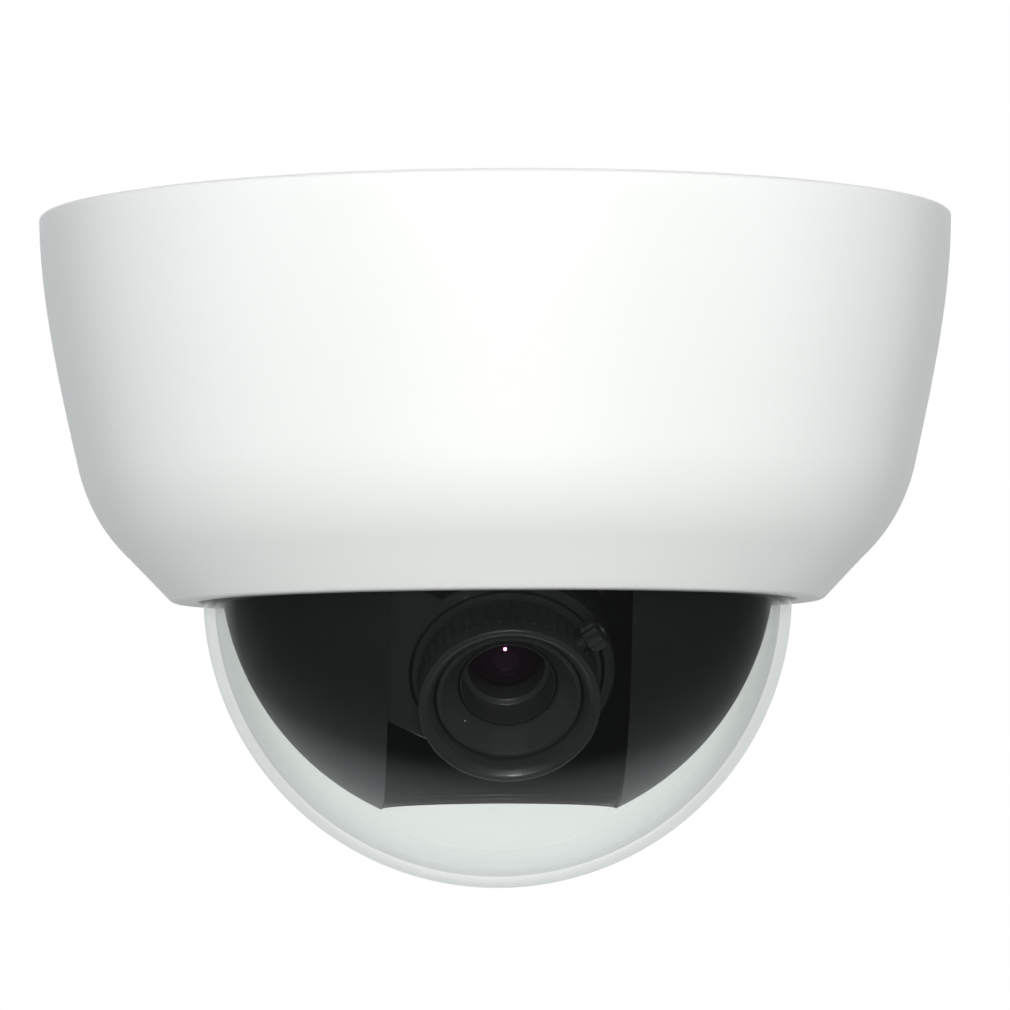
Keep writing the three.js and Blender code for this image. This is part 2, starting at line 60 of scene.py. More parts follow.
TILT_AT = Vector(joint("tilt_turn")["pos_m"]) / MM
LENS_DIR = Vector(joint("camera_roll")["axis"])
LENS = Matrix.Translation(TILT_AT) @ Matrix.Rotation(math.atan2(-LENS_DIR.y, LENS_DIR.z), 4, "X")


def polar(radius, degrees):
    a = math.radians(degrees)
    return radius * math.cos(a), radius * math.sin(a)


# ------------------------------------------------------------------ mesh tools (millimetres)

def smooth_outline(points, steps=5):
    """A closed outline with each (x, y, radius) corner rounded."""
    out = []
    count = len(points)
    for i, corner in enumerate(points):
        p = Vector(corner[:2])
        r = corner[2] if len(corner) > 2 else 0
        if r <= 0:
            out.append(tuple(p))
            continue
        a = Vector(points[i - 1][:2]) - p
        b = Vector(points[(i + 1) % count][:2]) - p
        angle = a.angle(b)
        reach = min(r / math.tan(angle / 2), 0.48 * a.length, 0.48 * b.length)
        start, end = p + a.normalized() * reach, p + b.normalized() * reach
        for k in range(steps + 1):
            t = k / steps
            out.append(tuple(start.lerp(p, t).lerp(p.lerp(end, t), t)))
    return out


def arc(cx, cy, radius, start, end, steps):
    """Points on a circle, from one angle in degrees to another."""
    return [
        (cx + radius * math.cos(math.radians(start + (end - start) * k / steps)),
         cy + radius * math.sin(math.radians(start + (end - start) * k / steps)))
        for k in range(steps + 1)
    ]


def lathe(outline, segments=128):
    """A solid of revolution about Z from a closed (radius, height) outline."""
    bm = bmesh.new()
    rings = []
    for r, z in outline:
        if r < 1e-5:
            rings.append([bm.verts.new((0, 0, z))])
        else:
            rings.append([
                bm.verts.new((r * math.cos(TAU * k / segments), r * math.sin(TAU * k / segments), z))
                for k in range(segments)
            ])
    for i, ring in enumerate(rings):
        other = rings[(i + 1) % len(rings)]
        if len(ring) == 1 and len(other) == 1:
            continue
        for k in range(segments):
            n = (k + 1) % segments
            corners = [ring[k % len(ring)], ring[n % len(ring)], other[n % len(other)],
                       other[k % len(other)]]
            bm.faces.new(list(dict.fromkeys(corners)))
    bmesh.ops.recalc_face_normals(bm, faces=bm.faces)
    return bm


def turned(points, segments=128, steps=4):
    return lathe(smooth_outline(points, steps), segments)


def prism(points, low, high):
    """An outline in XY drawn along Z from low to high."""
    bm = bmesh.new()
    bottom = [bm.verts.new((x, y, low)) for x, y in points]
    top = [bm.verts.new((x, y, high)) for x, y in points]
    bm.faces.new(bottom)
    bm.faces.new(top)
    for i in range(len(points)):
        n = (i + 1) % len(points)
        bm.faces.new((bottom[i], bottom[n], top[n], top[i]))
    bmesh.ops.recalc_face_normals(bm, faces=bm.faces)
    return bm


def block(x, y, z, bevel=0.0, steps=2):
    """A box between a low and a high value on each axis."""
    bm = bmesh.new()
    bmesh.ops.create_cube(bm, size=1)
    for v in bm.verts:
        v.co = Vector((x[0] if v.co.x < 0 else x[1], y[0] if v.co.y < 0 else y[1],
                       z[0] if v.co.z < 0 else z[1]))
    if bevel:
        bmesh.ops.bevel(bm, geom=bm.edges[:], offset=bevel, segments=steps, profile=0.6,
                        affect="EDGES", clamp_overlap=True)
    return bm


def rod(x, y, radius, low, high, segments=32, bevel=0.0):
    """A round bar along Z."""
    bm = turned([(0, low), (radius, low, bevel), (radius, high, bevel), (0, high)], segments, 2)
    bmesh.ops.translate(bm, vec=(x, y, 0), verts=bm.verts)
    return bm


def bevelled(bm, width, angle=35, steps=2):
    edges = [e for e in bm.edges if len(e.link_faces) == 2 and e.calc_face_angle() > math.radians(angle)]
    bmesh.ops.bevel(bm, geom=edges, offset=width, segments=steps, profile=0.6, affect="EDGES",
                    clamp_overlap=True)
    return bm


def moved(bm, matrix):
    bmesh.ops.transform(bm, matrix=matrix, verts=bm.verts)
    return bm


def tube(path, radius):
    """A round bead along an open path, with closed ends."""
    sides = 12
    bm = bmesh.new()
    rings = []
    for i, point in enumerate(path):
        along = Vector(path[min(i + 1, len(path) - 1)]) - Vector(path[max(i - 1, 0)])
        turn = along.to_track_quat("Z", "Y").to_matrix()
        rings.append([
            bm.verts.new(Vector(point) + turn @ Vector((radius * math.cos(TAU * k / sides),
                                                        radius * math.sin(TAU * k / sides), 0)))
            for k in range(sides)
        ])
    for a, b in zip(rings, rings[1:]):
        for k in range(sides):
            n = (k + 1) % sides
            bm.faces.new((a[k], a[n], b[n], b[k]))
    bm.faces.new(rings[0])
    bm.faces.new(rings[-1])
    bmesh.ops.recalc_face_normals(bm, faces=bm.faces)
    return bm


def at(x=0, y=0, z=0):
    return Matrix.Translation((x, y, z))


def spun(degrees, axis="Z"):
    return Matrix.Rotation(math.radians(degrees), 4, axis)


def merged(*parts):
    """Several closed meshes in one, without cutting them."""
    bm = bmesh.new()
    for part in parts:
        data = bpy.data.meshes.new("part")
        part.to_mesh(data)
        part.free()
        bm.from_mesh(data)
        bpy.data.meshes.remove(data)
    return bm


def temp_object(bm):
    data = bpy.data.meshes.new("temp")
    bm.to_mesh(data)
    bm.free()
    obj = bpy.data.objects.new("temp", data)
    bpy.context.scene.collection.objects.link(obj)
    return obj


def carved(base, add=(), cut=()):
    """The union of base and add, less cut."""
    target = temp_object(base)
    tools = []
    for operation, parts in (("UNION", add), ("DIFFERENCE", cut)):
        for part in parts:
            tool = temp_object(part)
            tools.append(tool)
            modifier = target.modifiers.new("cut", "BOOLEAN")
            modifier.operation = operation
            modifier.solver = "EXACT"
            modifier.object = tool
    data = target.evaluated_get(bpy.context.evaluated_depsgraph_get()).to_mesh()
    bm = bmesh.new()
    bm.from_mesh(data)
    bmesh.ops.remove_doubles(bm, verts=bm.verts, dist=1e-4)
    bmesh.ops.dissolve_degenerate(bm, edges=bm.edges, dist=1e-4)
    for obj in [target, *tools]:
        bpy.data.objects.remove(obj)
    return bm


def piece(name, bm, material, body, replaces=()):
    """Turns a mesh in millimetres into a finished object that rides on a body."""
    bmesh.ops.scale(bm, vec=(MM, MM, MM), verts=bm.verts)
    for face in bm.faces:
        face.smooth = True
    for edge in bm.edges:
        edge.smooth = len(edge.link_faces) == 2 and edge.calc_face_angle() < SHARP_EDGE
    data = bpy.data.meshes.new(name)
    bm.to_mesh(data)
    bm.free()
    obj = bpy.data.objects.new(name, data)
    bpy.context.scene.collection.objects.link(obj)
    data.materials.append(material)
    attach(obj, body)
    if replaces:
        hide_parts(*replaces)
    return obj


# ------------------------------------------------------------------ materials

class Nodes:
    """A material's node tree with short calls for what is built here."""

    def __init__(self, name):
        self.material = bpy.data.materials.new(name)
        self.material.use_nodes = True
        self.tree = self.material.node_tree
        self.tree.nodes.clear()
        self.out = self.add("ShaderNodeOutputMaterial")
        self.place = self.add("ShaderNodeTexCoord").outputs["Object"]

    def add(self, kind, **values):
        node = self.tree.nodes.new(kind)
        for key, value in values.items():
            if hasattr(node, key) and key not in node.inputs:
                setattr(node, key, value)
            else:
                self.feed(node.inputs[key], value)
        return node

    def feed(self, socket, value):
        if hasattr(value, "is_output"):
            self.tree.links.new(value, socket)
        else:
            socket.default_value = value

    def noise(self, scale, detail=2.0, roughness=0.5, stretch=None):
        where = self.place
        if stretch:
            mapped = self.add("ShaderNodeMapping", Vector=where)
            mapped.inputs["Scale"].default_value = stretch
            where = mapped.outputs[0]
        return self.add("ShaderNodeTexNoise", Vector=where, Scale=scale, Detail=detail,
                        Roughness=roughness).outputs["Fac"]

    def ramp(self, value, low, high, start=0.0, end=1.0):
        """value's span start..end spread over low..high."""
        node = self.add("ShaderNodeMapRange", Value=value)
        for key, number in (("From Min", start), ("From Max", end), ("To Min", low), ("To Max", high)):
            node.inputs[key].default_value = number
        return node.outputs[0]

    def blend(self, factor, first, second):
        node = self.add("ShaderNodeMix", data_type="RGBA")
        self.feed(node.inputs[0], factor)
        self.feed(node.inputs[6], first)
        self.feed(node.inputs[7], second)
        return node.outputs[2]

    def math(self, operation, a, b=0.0):
        node = self.add("ShaderNodeMath", operation=operation)
        self.feed(node.inputs[0], a)
        self.feed(node.inputs[1], b)
        return node.outputs[0]

    def bump(self, height, strength, distance):
        return self.add("ShaderNodeBump", Height=height, Strength=strength, Distance=distance).outputs[0]

    def surface(self, shader):
        self.tree.links.new(shader.outputs[0], self.out.inputs["Surface"])
        return self.material


def rgb(r, g, b):
    return (r, g, b, 1.0)


def moulded(name, colour, tone, roughness, grain=2600.0, depth=0.00002, spread=0.05, shine=0.5):
    """Moulded plastic: a fine spark-eroded grain, faint flow marks and slightly uneven gloss."""
    m = Nodes(name)
    flow = m.noise(16.0, 0.0)
    fine = m.noise(grain, 2.0, 0.5)
    shade = m.blend(flow, rgb(*colour), rgb(*tone))
    gloss = m.ramp(m.noise(22.0, 0.0), roughness - spread, roughness + spread)
    shader = m.add("ShaderNodeBsdfPrincipled", **{"Base Color": shade, "Roughness": gloss,
                                                  "Specular IOR Level": shine})
    m.feed(shader.inputs["Normal"], m.bump(fine, 0.15, depth))
    return m.surface(shader)


def metal(name, colour, dark, roughness, scale=500.0, stretch=(1, 1, 12)):
    """Worked metal with fine tool lines and patches of a duller tone."""
    m = Nodes(name)
    lines = m.noise(scale, 3.0, 0.6, stretch=stretch)
    patches = m.noise(160.0, 4.0, 0.6)
    shade = m.blend(m.ramp(patches, 0.0, 0.8, 0.35, 0.75), rgb(*colour), rgb(*dark))
    gloss = m.ramp(lines, roughness - 0.08, roughness + 0.12, 0.3, 0.7)
    shader = m.add("ShaderNodeBsdfPrincipled", **{"Base Color": shade, "Metallic": 1.0, "Roughness": gloss})
    m.feed(shader.inputs["Normal"], m.bump(lines, 0.25, 0.00001))
    return m.surface(shader)


def clear_shell(name, tint, shine):
    """Thin clear polycarbonate: a faint tint at each surface and a sharp reflection."""
    m = Nodes(name)
    haze = m.noise(18.0, 2.0, 0.5)
    colour = m.blend(m.ramp(haze, 0.0, 1.0, 0.35, 0.65), rgb(*tint), rgb(*[c * 0.985 for c in tint]))
    see = m.add("ShaderNodeBsdfTransparent", Color=colour)
    gloss = m.add("ShaderNodeBsdfGlossy", Color=rgb(1, 1, 1), Roughness=shine)
    edge = m.add("ShaderNodeLayerWeight", Blend=0.5)
    fresnel = m.math("ADD", m.math("MULTIPLY", m.math("POWER", edge.outputs["Facing"], 5.0), 0.945), 0.05)
    mix = m.add("ShaderNodeMixShader")
    m.feed(mix.inputs[0], fresnel)
    m.feed(mix.inputs[1], see.outputs[0])
    m.feed(mix.inputs[2], gloss.outputs[0])
    return m.surface(mix)


def laminate(name):
    """Circuit board: green mask over copper tracks, with bare pads."""
    m = Nodes(name)
    tracks = m.add("ShaderNodeTexBrick", Vector=m.place, Scale=330.0, offset=0.5, squash=0.6)
    for key, value in (("Mortar Size", 0.09), ("Mortar Smooth", 0.1), ("Brick Width", 1.7),
                       ("Row Height", 0.45)):
        tracks.inputs[key].default_value = value
    vias = m.add("ShaderNodeTexVoronoi", Vector=m.place, Scale=420.0)
    vias.inputs["Randomness"].default_value = 0.75
    via = m.math("LESS_THAN", vias.outputs["Distance"], 0.16)
    gate = m.ramp(m.noise(210.0, 0.0), 0.0, 1.0, 0.5, 0.52)
    base = m.blend(m.math("MULTIPLY", tracks.outputs["Fac"], gate), rgb(0.008, 0.085, 0.03),
                   rgb(0.02, 0.16, 0.06))
    shade = m.blend(m.math("MULTIPLY", via, gate), base, rgb(0.55, 0.46, 0.2))
    shader = m.add("ShaderNodeBsdfPrincipled", **{
        "Base Color": shade, "Roughness": m.ramp(m.noise(700.0), 0.26, 0.42, 0.3, 0.7),
        "Coat Weight": 0.35, "Coat Roughness": 0.15,
    })
    m.feed(shader.inputs["Normal"], m.bump(tracks.outputs["Fac"], 0.3, 0.00003))
    return m.surface(shader)


def coated_glass(name, body, coating):
    """A lens element: an opaque near-black body colour, painted shade that stands in for the unlit inside
    of the lens seen through clear glass, with random mottling, under a coloured anti-reflection coating.
    """
    m = Nodes(name)
    # painted shade: the dark body colour stands in for the shaded lens interior behind the glass
    depth = m.blend(m.ramp(m.noise(60.0, 1.0), 0.0, 1.0, 0.3, 0.7), rgb(*body),
                    rgb(*[c * 0.6 for c in body]))
    shader = m.add("ShaderNodeBsdfPrincipled", **{
        "Base Color": depth, "IOR": 1.9, "Specular Tint": rgb(*coating),
        "Roughness": m.ramp(m.noise(300.0), 0.02, 0.05, 0.3, 0.7),
    })
    return m.surface(shader)


def sleeve(name, colour, stripe, bare_below):
    """A capacitor's sleeve with one lighter stripe along it and a bare metal end."""
    m = Nodes(name)
    split = m.add("ShaderNodeSeparateXYZ", Vector=m.place)
    band = m.math("GREATER_THAN", split.outputs[0], stripe)
    dash = m.math("GREATER_THAN", m.math("FRACT", m.math("MULTIPLY", split.outputs[2], 450.0)), 0.45)
    side = m.blend(m.math("MULTIPLY", band, dash), rgb(*colour), rgb(0.6, 0.62, 0.62))
    top = m.math("LESS_THAN", split.outputs[2], bare_below)
    shade = m.blend(top, side, rgb(0.7, 0.7, 0.71))
    shader = m.add("ShaderNodeBsdfPrincipled", **{
        "Base Color": shade, "Metallic": top, "Roughness": m.ramp(m.noise(500.0), 0.24, 0.4, 0.3, 0.7),
    })
    return m.surface(shader)


WHITE = moulded("white_plastic", (0.90, 0.905, 0.895), (0.89, 0.9, 0.888), 0.3, 2400.0, 0.000008, 0.03)
BLACK = moulded("black_plastic", (0.005, 0.006, 0.0065), (0.007, 0.008, 0.008), 0.28, 1200.0, 0.000004,
                0.02, 0.4)
LINER_BLACK = moulded("liner_black", (0.006, 0.0065, 0.007), (0.007, 0.008, 0.008), 0.42, 1200.0, 0.000004,
                      0.02, 0.25)
LENS_BLACK = moulded("lens_black", (0.014, 0.0145, 0.0155), (0.017, 0.018, 0.019), 0.26, 1400.0, 0.000004,
                     0.02, 0.45)
DARK = moulded("dark_plastic", (0.010, 0.0105, 0.011), (0.014, 0.0145, 0.015), 0.42, 1300.0, 0.00001,
               0.06, 0.4)
RUBBER = moulded("rubber", (0.012, 0.012, 0.012), (0.018, 0.018, 0.018), 0.72, 1500.0, 0.00004, 0.08, 0.35)
IVORY = moulded("ivory_plastic", (0.78, 0.74, 0.62), (0.74, 0.7, 0.57), 0.42, 1900.0)
BLUE = moulded("terminal_blue", (0.02, 0.09, 0.32), (0.025, 0.105, 0.36), 0.4, 1900.0)
CHIP = moulded("chip_black", (0.02, 0.02, 0.021), (0.03, 0.03, 0.031), 0.55, 4200.0, 0.00003, 0.06)
STEEL = metal("screw_steel", (0.66, 0.67, 0.69), (0.48, 0.48, 0.5), 0.28)
ALLOY = metal("cast_alloy", (0.42, 0.43, 0.45), (0.3, 0.31, 0.33), 0.38, 300.0, (1, 1, 3))
BRASS = metal("brass", (0.78, 0.58, 0.28), (0.6, 0.42, 0.18), 0.3)
BOARD = laminate("green_laminate")
CLEAR = clear_shell("clear_dome", (0.965, 0.98, 0.968), 0.015)
# the glass body colours below are painted shade for the dark inside of the lens
GLASS = coated_glass("coated_glass", (0.007, 0.002, 0.006), (1.0, 0.4, 0.7))
FILTER = coated_glass("filter_glass", (0.015, 0.03, 0.06), (0.5, 0.75, 1.0))

# ------------------------------------------------------------------ cover and bubble

COVER_LOW, COVER_HIGH = (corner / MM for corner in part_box("cover_shell"))
COVER_ANGLES = (90, 210, 330)
COVER_CIRCLE = 47.4
LEDGE = -53.0


def bezier(points, steps):
    """A Bezier curve with as many control points as are given."""
    points = [Vector(p) for p in points]
    out = []
    for k in range(steps + 1):
        t, layer = k / steps, points
        while len(layer) > 1:
            layer = [a.lerp(b, t) for a, b in zip(layer, layer[1:])]
        out.append(tuple(layer[0]))
    return out


def offset_line(points, distance):
    """The line moved to the right of the way it runs."""
    out = []
    for i, p in enumerate(points):
        along = Vector(points[min(i + 1, len(points) - 1)]) - Vector(points[max(i - 1, 0)])
        inward = Vector((along.y, -along.x)).normalized()
        out.append(tuple(Vector(p) + inward * distance))
    return out


def make_cover():
    top = COVER_HIGH.z
    wall = bezier([(65, top), (65, -12), (62.1, -25), (59.4, -36.9)], 26)
    wall += bezier([(59.4, -36.9), (57.5, -44.26), (52.2, -49.2)], 14)[1:]
    foot = bezier([(52.2, -49.2), (49.85, -51.65), (47.55, -54.05)], 6)[1:]
    foot += arc(45.58, COVER_LOW.z + 1.6, 1.6, -45, -90, 6)
    inner = offset_line(wall, 2.2)[::-1]
    inner[-1] = (inner[-1][0], top)
    lip = arc(wall[0][0] - 0.6, top - 0.6, 0.6, 90, 0, 4)
    outline = lip + wall[2:] + foot + [
        (43.0, COVER_LOW.z), (42.6, COVER_LOW.z + 0.12), (42.35, COVER_LOW.z + 0.5), (42.3, LEDGE),
        (45.7, LEDGE),
    ] + inner[:-1] + arc(inner[-1][0] + 0.4, top - 0.4, 0.4, 180, 90, 3)
    bosses, wells = [], []
    for angle in COVER_ANGLES:
        x, y = polar(COVER_CIRCLE, angle)
        boss = turned([(0, -53.2), (0.6, -53.2), (2, -51.2), (2, -48.4, 0.15), (0, -48.4)], 32, 2)
        bosses.append(moved(boss, at(x, y)))
        wells.append(rod(x, y, 1.1, LEDGE + 0.7, -40, 24))
    cover = carved(lathe(outline, 224), add=bosses, cut=wells)
    piece("cover", cover, WHITE, "cover", ("cover_shell",))


def bowl(centre, radius, steps):
    """The profile of a lower half sphere, from its lowest point up to its rim."""
    return [(0, centre - radius)] + arc(0, centre, radius, -90, 0, steps)[1:]


def make_bubble():
    centre, radius, wall = -54.2, 41.9, 1.6
    outer = bowl(centre, radius, 48)
    inner = bowl(centre, radius - wall, 44)[::-1]
    rim = [(44.7, -52.1), (44.9, -51.9), (44.9, -50.6), (44.7, -50.4)]
    outline = outer + [(41.9, -52.5), (42.2, -52.15), (42.5, -52.1)] + rim
    outline += [(40.6, -50.4), (40.3, -50.7)] + inner
    piece("bubble", lathe(outline, 192), CLEAR, "cover", ("dome_bubble",))
    ring = [(42.7, LEDGE, 0.2), (44.85, LEDGE, 0.2), (44.85, -52.2, 0.2), (42.7, -52.2, 0.2)]
    piece("bubble_gasket", turned(ring, 128, 3), RUBBER, "cover", ("dome_gasket",))


def cross_screw(head, height, shank, length, thread=0.5):
    """A pan-head cross-recess screw; its head's underside is at z = 0."""
    thread_depth = shank * 0.14
    outline = [(0, -length), (shank * 0.55, -length)]
    z = -length + shank * 0.5
    while z + thread < -0.3:
        outline += [(shank - thread_depth, z), (shank, z + thread / 2)]
        z += thread
    outline += [(shank * 0.9, z), (shank * 0.9, 0)]
    outline += smooth_outline([(head, 0, head * 0.06), (head, height * 0.45, head * 0.3),
                               (head * 0.62, height, head * 0.25), (0, height)], 4)
    arm, slot = head * 0.52, head * 0.1
    cuts = [moved(block((-arm, arm), (-slot, slot), (height * 0.4, height + 1), 0.03), spun(a))
            for a in (0, 90)]
    cuts.append(lathe([(0, height * 0.25), (slot * 1.9, height * 0.55), (slot * 2.6, height + 1),
                       (0, height + 1)], 16))
    return carved(lathe(outline, 28), cut=cuts)


def screw_at(name, node, place, size, body):
    piece(name, moved(cross_screw(*size), place), STEEL, body, (node,))


def make_retainer():
    ears = [moved(retainer_ear(), spun(angle)) for angle in COVER_ANGLES]
    ring = turned([(41, -50.3, 0.2), (44.6, -50.3, 0.2), (44.6, -46.4, 0.3), (41, -46.4, 0.3)], 128, 3)
    holes = [rod(*polar(COVER_CIRCLE, a), 1.35, -60, 0, 24) for a in COVER_ANGLES]
    bore = rod(0, 0, 41, -60, 0, 128)
    piece("bubble_retainer", carved(ring, add=ears, cut=[bore, *holes]), BLACK, "cover",
          ("dome_retainer",))
    for i, angle in enumerate(COVER_ANGLES):
        x, y = polar(COVER_CIRCLE, angle)
        screw_at(f"retainer_fixing_{i + 1}", f"retainer_screw_{i + 1}",
                 at(x, y, -46.4) @ spun(20 * i), (2.1, 1.3, 0.95, 4.6), "cover")


def retainer_ear():
    half = 2.4
    points = [(42.0, -half), *arc(COVER_CIRCLE, 0, half, -90, 90, 16), (42.0, half)]
    return bevelled(prism(points, -48.2, -46.4), 0.2)


# ------------------------------------------------------------------ liner

def make_liner():
    centre, radius, wall = -49.0, 39.6, 1.2
    outer = bowl(centre, radius, 56)
    inner = bowl(centre, radius - wall, 52)[::-1]
    outline = outer + [(radius, -35.9), (radius - 0.3, -35.5), (radius - wall + 0.3, -35.5),
                       (radius - wall, -35.9)] + inner
    half, back, top = 16.7, 1.7, -43.5
    slot = prism([(-half, -60), (half, -60), *arc(0, back, half, 0, 180, 48)], -110, -66)
    corner = 1.5
    window = smooth_outline([(-half, -110), (half, -110), (half, top, corner), (-half, top, corner)], 5)
    front = moved(prism(window, 0, 60), spun(90, "X"))
    lugs = [moved(block((33.5, radius - 0.6), (-4.5, 4.5), (-37.7, -35.5), 0.25), spun(a))
            for a in (0, 180)]
    path = [(half * math.cos(a), back + half * math.sin(a)) for a in (math.pi * k / 48 for k in range(49))]
    middle = radius - wall / 2
    rim = [(x, y, centre - math.sqrt(middle ** 2 - x * x - y * y)) for x, y in path]
    shell = carved(lathe(outline, 200), add=lugs, cut=[slot, front])
    shell = merged(shell, tube(rim, 0.5))
    piece("liner_shell", shell, LINER_BLACK, "pan_unit", ("liner",))


# ------------------------------------------------------------------ lens and camera module

def knurled(radius, depth, ribs, low, high, chamfer=0.3):
    """A ribbed grip with its ends drawn in."""
    per = 8
    rings = []
    bm = bmesh.new()
    for z, inset in ((low, chamfer), (low + chamfer, 0), (high - chamfer, 0), (high, chamfer)):
        ring = []
        for k in range(ribs * per):
            t = (k % per) / per
            drop = depth * (0.5 - 0.5 * math.cos(TAU * t)) ** 0.7
            r = radius - inset - (drop if inset == 0 else min(drop, depth - inset * 0.2))
            ring.append(bm.verts.new((*[r * f(TAU * k / (ribs * per)) for f in (math.cos, math.sin)], z)))
        rings.append(ring)
    for a, b in zip(rings, rings[1:]):
        for k in range(len(a)):
            n = (k + 1) % len(a)
            bm.faces.new((a[k], a[n], b[n], b[k]))
    bm.faces.new(rings[0])
    bm.faces.new(rings[-1])
    bmesh.ops.recalc_face_normals(bm, faces=bm.faces)
    return bm


def thumb_screw(shank, shank_length, head, head_length, ribs=14):
    """A shank along Z with a ribbed, dished head on its far end."""
    grip = knurled(head, head * 0.12, ribs, shank_length, shank_length + head_length, 0.25)
    dish = lathe([(0, shank_length + head_length - 0.35), (head * 0.55, shank_length + head_length - 0.35),
                  (head * 0.65, shank_length + head_length + 1), (0, shank_length + head_length + 1)], 32)
    return carved(grip, add=[rod(0, 0, shank, 0, shank_length + 0.1, 24)], cut=[dish])


# angles about the lens axis, counted from +X
FOCUS_LOCK = 37
ZOOM_LOCK = 60
IRIS_LUG = 151


def radially(start, angle, height):
    """Turns Z outwards from the lens axis, at a height along the lens."""
    return LENS @ spun(angle) @ at(start, 0, height) @ spun(90, "Y")


def lock_hole(angle, height):
    return moved(rod(0, 0, 1.3, 8, 20, 24), spun(angle) @ at(0, 0, height) @ spun(90, "Y"))


def make_lens():
    front = 36.6
    unit = "camera_unit"
    barrel = turned([
        (5.6, 5.2), (11.8, 5.2, 0.2), (11.8, 10.7), (13.7, 10.7, 0.1), (13.7, 11.2, 0.1),
        (11.9, 11.2), (11.9, 17.9), (13.2, 17.9, 0.2), (13.2, 28.3, 0.3), (10, 28.3),
        (10, 34.3, 0.12), (9.4, 34.3, 0.15), (7.1, 31.35, 0.1), (6.9, 31.0, 0.15), (6.9, 22.1),
        (5.6, 22.1),
    ], 144, 3)
    piece("lens_tube", moved(barrel, LENS), LENS_BLACK, unit, ("lens_barrel",))
    bezel = turned([
        (5.3, 23.6), (6.6, 23.6), (6.6, 31.0, 0.1), (6.45, 31.0), (6.3, 28.5, 0.3), (6.05, 27.0, 0.2),
        (5.3, 26.75, 0.2),
    ], 128, 4)
    piece("lens_bezel", moved(bezel, LENS), LENS_BLACK, unit, ("front_bezel",))
    dome = [(r, 26.7 - r * r / 7.6) for r in [5.1 * (1 - k / 28) for k in range(29)]]
    glass = lathe([(0, 22.4), (6.55, 22.4), (6.55, 23.2), (5.2, 23.25)] + dome[:-1] + [(0, 26.7)], 96)
    piece("front_glass", moved(glass, LENS), GLASS, unit, ("front_element",))
    back = [(r, 9.2 - (r / 5.3) ** 2) for r in [5.3 * (1 - k / 16) for k in range(17)]]
    rear = lathe([(0, 6.6), (5.3, 6.6)] + back[:-1] + [(0, 9.2)], 72)
    piece("rear_glass", moved(rear, LENS), GLASS, unit, ("rear_element",))
    pane = turned([(0, 2.4), (6.3, 2.4, 0.1), (6.3, 3.4, 0.1), (0, 3.4)], 64)
    piece("infrared_filter", moved(pane, LENS), FILTER, unit, ("ir_filter",))
    blades = turned([(1.8, 15.1), (5.3, 15), (5.3, 15.8), (1.8, 15.4)], 64)
    piece("iris_blades", moved(blades, LENS), STEEL, unit, ("iris_plate",))
    mount = turned([
        (6.6, 2), (12.7, 2, 0.2), (12.7, 7.2, 0.1), (14.6, 7.2, 0.2), (14.6, 10.4, 0.4),
        (12.1, 10.4, 0.2), (12.1, 4), (6.6, 4),
    ], 112, 3)
    piece("mount_ring", moved(mount, LENS), ALLOY, unit, ("lens_mount",))

    casing = carved(
        turned([(0, 18.4), (15.1, 18.4, 0.5), (15.1, 28.1, 0.5), (0, 28.1)], 128, 4),
        add=[bevelled(prism([(0, -6), (20.0, -6), *arc(0, 0, 21, -14, 44, 18), (13.5, 15.1), (0, 15.1)],
                            18.4, 28.1), 0.45, 40, 3)],
        cut=[rod(0, 0, 13.6, 0, 40, 128)],
    )
    piece("iris_casing", moved(casing, LENS @ spun(IRIS_LUG)), LENS_BLACK, unit, ("iris_housing",))

    zoom_height = 14.6
    zoom_grip = carved(knurled(13.7, 0.4, 44, 11.5, 17.6), cut=[
        rod(0, 0, 12.2, 0, 30, 96), lock_hole(ZOOM_LOCK, zoom_height)])
    piece("zoom_grip", moved(zoom_grip, LENS), LENS_BLACK, "zoom_unit", ("zoom_ring",))
    piece("zoom_lock", moved(thumb_screw(1, 2.2, 2.4, 3.4), radially(12.7, ZOOM_LOCK, zoom_height)),
          STEEL, "zoom_lock", ("zoom_lock_screw",))

    focus_height = 32
    hood = turned([
        (10.3, 28.7), (12.2, 28.7), (12.2, 33.9), (12.45, 34.2), (12.6, 34.4, 0.15), (12.6, front, 0.35),
        (11.7, front - 0.1, 0.6), (10.95, front - 0.75, 0.6), (10.45, front - 1.75, 0.3),
        (10.3, front - 2.4),
    ], 176, 4)
    grip = knurled(12.5, 0.35, 48, 28.7, 34.2)
    focus = carved(hood, add=[grip], cut=[
        rod(0, 0, 10.3, 0, 34.7, 176), lock_hole(FOCUS_LOCK, focus_height)])
    piece("focus_grip", moved(focus, LENS), LENS_BLACK, "focus_unit", ("focus_ring",))
    piece("focus_lock", moved(thumb_screw(1, 2.4, 2.2, 2.4), radially(11, FOCUS_LOCK, focus_height)),
          DARK, "focus_lock", ("focus_lock_screw",))


PILLARS = ((11.4, 0), (-11.4, 0))
FLANGE_SCREWS = [polar(17.2, angle) for angle in (-33, 87, 207)]


